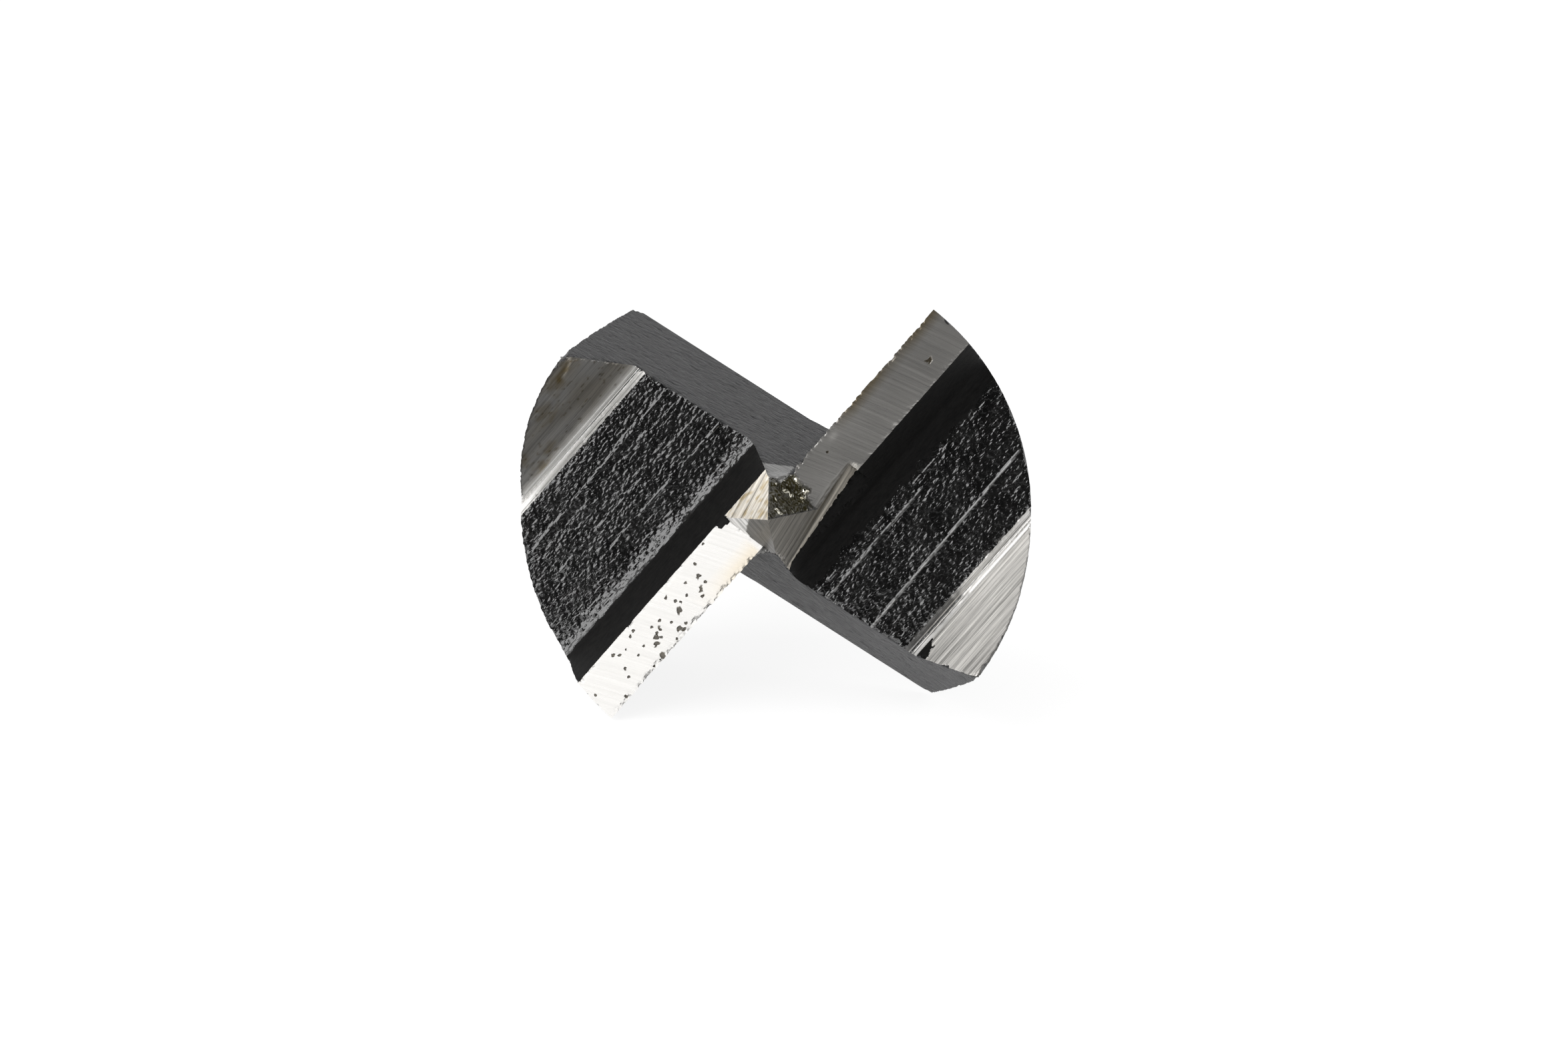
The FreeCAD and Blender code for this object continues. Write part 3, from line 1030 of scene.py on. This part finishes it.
# Forging grain: lumps drawn out along the lips
drawn = vectors(relief, "MULTIPLY", spot, (0.62, 1.0, 1.0))
lumps = worked(relief, "SUBTRACT", 0.42, pebbles(drawn, entry["Grain Size"]))
fuzz = clouds(drawn, worked(relief, "MULTIPLY", entry["Grain Size"], 2.0), 1.0)
crust = worked(relief, "ADD", lumps, worked(relief, "SUBTRACT", fuzz, 0.5))
crust = worked(relief, "MULTIPLY", crust, entry["Grain Height"])
crust = worked(relief, "MULTIPLY", crust, named("grain"))
# Pores in the flutes, pulled out down the flute
pores = clouds(vectors(relief, "MULTIPLY", spot, (1.0, 0.5, 0.45)), entry["Pore Size"], 1.0)
pores = worked(relief, "MINIMUM", worked(relief, "SUBTRACT", pores, 0.42), 0.0)
pores = worked(relief, "MULTIPLY", pores, named("flute_wear"))
pores = worked(relief, "MULTIPLY", pores, worked(relief, "MULTIPLY", entry["Pore Depth"], 4.0))
height = worked(relief, "ADD", worked(relief, "ADD", crust, pores), named("carved"))
lift = scaled(relief, node(relief, "GeometryNodeInputNormal").outputs[0], height)
# Nicks: few deep ones and many small ones, and the larger chips
deep = clouds(spot, entry["Nick Size"], 2.0)
deep = worked(relief, "MAXIMUM", worked(relief, "SUBTRACT", deep, 0.56), 0.0)
small = clouds(spot, worked(relief, "MULTIPLY", entry["Nick Size"], 0.45), 1.0)
small = worked(relief, "MAXIMUM", worked(relief, "SUBTRACT", small, 0.46), 0.0)
deep = worked(relief, "MULTIPLY", deep, 2.4)
nick = worked(relief, "ADD", deep, worked(relief, "MULTIPLY", small, 0.6))
nick = worked(relief, "MULTIPLY", nick, entry["Nick Depth"])
nick = worked(relief, "MULTIPLY", nick, named("edge_wear"))
nick = worked(relief, "ADD", nick, named("chip"))
chipped = scaled(relief, named("edge_way", "FLOAT_VECTOR"), nick)
metres = scaled(relief, vectors(relief, "ADD", lift, chipped), 0.001)
moved = node(relief, "GeometryNodeSetPosition", {"Geometry": entry["Geometry"], "Offset": metres})
whole = node(relief, "GeometryNodeRealizeInstances", {0: moved.outputs[0]}).outputs[0]
for i, (made, members) in enumerate(finishes):
    inputs = {2: named("finish", "INT"), 3: i}
    chosen = node(relief, "FunctionNodeCompare", inputs, data_type="INT", operation="EQUAL").outputs[0]
    inputs = {"Geometry": whole, "Selection": chosen, "Material": made}
    whole = node(relief, "GeometryNodeSetMaterial", inputs).outputs[0]
relief.links.new(whole, leave[0])

wearing = bit.modifiers.new("worn_steel", "NODES")
wearing.node_group = relief
for name, value in relief_sizes.items():
    wearing[socket_of[name]] = value
worn_skin = bpy.data.meshes.new_from_object(bit.evaluated_get(bpy.context.evaluated_depsgraph_get()))
bit.modifiers.clear()
bit.data = worn_skin
worn_skin.name = "forged_bit"

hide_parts("forstner_bit")
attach(bit, "root")


# ---- The table ----
# A plain pale table top under the bit. It shows as white and keeps the bit's soft shadow.
def seen_directly(tree):
    """1 for rays from the camera and for those that gloss or glass send on, else 0."""
    rays = node(tree, "ShaderNodeLightPath").outputs
    first = worked(tree, "MAXIMUM", rays["Is Camera Ray"], rays["Is Glossy Ray"])
    return worked(tree, "MAXIMUM", first, rays["Is Transmission Ray"])


def paint(tree, grey):
    """A matt grey."""
    return node(tree, "ShaderNodeBsdfDiffuse", {"Color": (grey, grey, grey, 1)}).outputs[0]


def sheet(name, corners, cover):
    """A flat sheet for the room, and the node tree of its new material."""
    mesh = bpy.data.meshes.new(name)
    mesh.from_pydata(corners, [], [tuple(range(len(corners)))])
    cloth = bpy.data.materials.new(cover)
    cloth.use_nodes = True
    cloth.node_tree.nodes.clear()
    mesh.materials.append(cloth)
    return into_scene(name, mesh), cloth.node_tree


table, tree = sheet("table", [(-3, -3, 0), (3, -3, 0), (3, 3, 0), (-3, 3, 0)], "pale_table")
glow = node(tree, "ShaderNodeEmission", {"Color": (1, 1, 1, 1), "Strength": 0.86}).outputs[0]
white = node(tree, "ShaderNodeAddShader", {0: paint(tree, 0.42), 1: glow}).outputs[0]
top = node(tree, "ShaderNodeMixShader", {0: seen_directly(tree), 1: paint(tree, 0.8), 2: white}).outputs[0]
node(tree, "ShaderNodeOutputMaterial", {"Surface": top})


# ---- Light ----
# One large softbox above the camera's left shoulder in an even pale room. The steel's faces mirror a dark
# screen behind the camera, a grey one on the table in front and a dark one overhead, which show only in gloss.
face_middle = lip_middle / 1000
softbox_way = Vector((-0.6055, -0.6337, 0.4806)).normalized()
softbox_size = 0.6
softbox_reach = 0.6
softbox = bpy.data.lights.new("softbox", "AREA")
softbox.shape = "RECTANGLE"
softbox.size = softbox_size
softbox.size_y = softbox_size
softbox.energy = 2.9
softbox_stand = into_scene("softbox", softbox)
softbox_stand.matrix_world = (
    Matrix.Translation(face_middle + softbox_reach * softbox_way)
    @ softbox_way.to_track_quat("Z", "Y").to_matrix().to_4x4()
)

# The screens: front and back edge as distance and height, and how grey they are
for name, (near, near_z), (far, far_z), grey in (
    ("dark_screen", (-0.9, 0), (-0.9, 2.5), 0.03),
    ("grey_screen", (-0.9, 0.001), (-0.07, 0.001), 0.22),
    ("top_screen", (-0.9, 2.5), (0.2, 2.5), 0.05),
):
    corners = [(-2.5, near, near_z), (2.5, near, near_z), (2.5, far, far_z), (-2.5, far, far_z)]
    screen, tree = sheet(name, corners, name)
    node(tree, "ShaderNodeOutputMaterial", {"Surface": paint(tree, grey)})
    screen.visible_camera = False
    screen.visible_diffuse = False
    screen.visible_shadow = False
    screen.visible_transmission = False

room = bpy.data.worlds.new("room")
bpy.context.scene.world = room
room.use_nodes = True
tree = room.node_tree
tree.nodes.clear()
soft = node(tree, "ShaderNodeBackground", {"Color": (1, 1, 1, 1), "Strength": 0.35}).outputs[0]
white = node(tree, "ShaderNodeBackground", {"Color": (1, 1, 1, 1), "Strength": 1.0}).outputs[0]
mix = node(tree, "ShaderNodeMixShader", {0: seen_directly(tree), 1: soft, 2: white}).outputs[0]
node(tree, "ShaderNodeOutputWorld", {"Surface": mix})
bpy.context.scene.view_settings.view_transform = "Standard"


# ---- Camera ----
# It stands where the photograph was taken from, a little above the bit's axis and to its right.
camera_place = Vector((0.0110082, -0.2612320, 0.0851454))
seen_right = Vector((0.9889968, 0.0791820, 0.1249625))
seen_up = Vector((-0.1422105, 0.2761114, 0.9505465))
camera = bpy.data.cameras.new("camera")
camera.lens = 85
camera.sensor_width = 36
camera.clip_start = 0.01
viewer = into_scene("camera", camera)
turned_to = Matrix((seen_right, seen_up, seen_right.cross(seen_up))).transposed().to_4x4()
viewer.matrix_world = Matrix.Translation(camera_place) @ turned_to
bpy.context.scene.camera = viewer
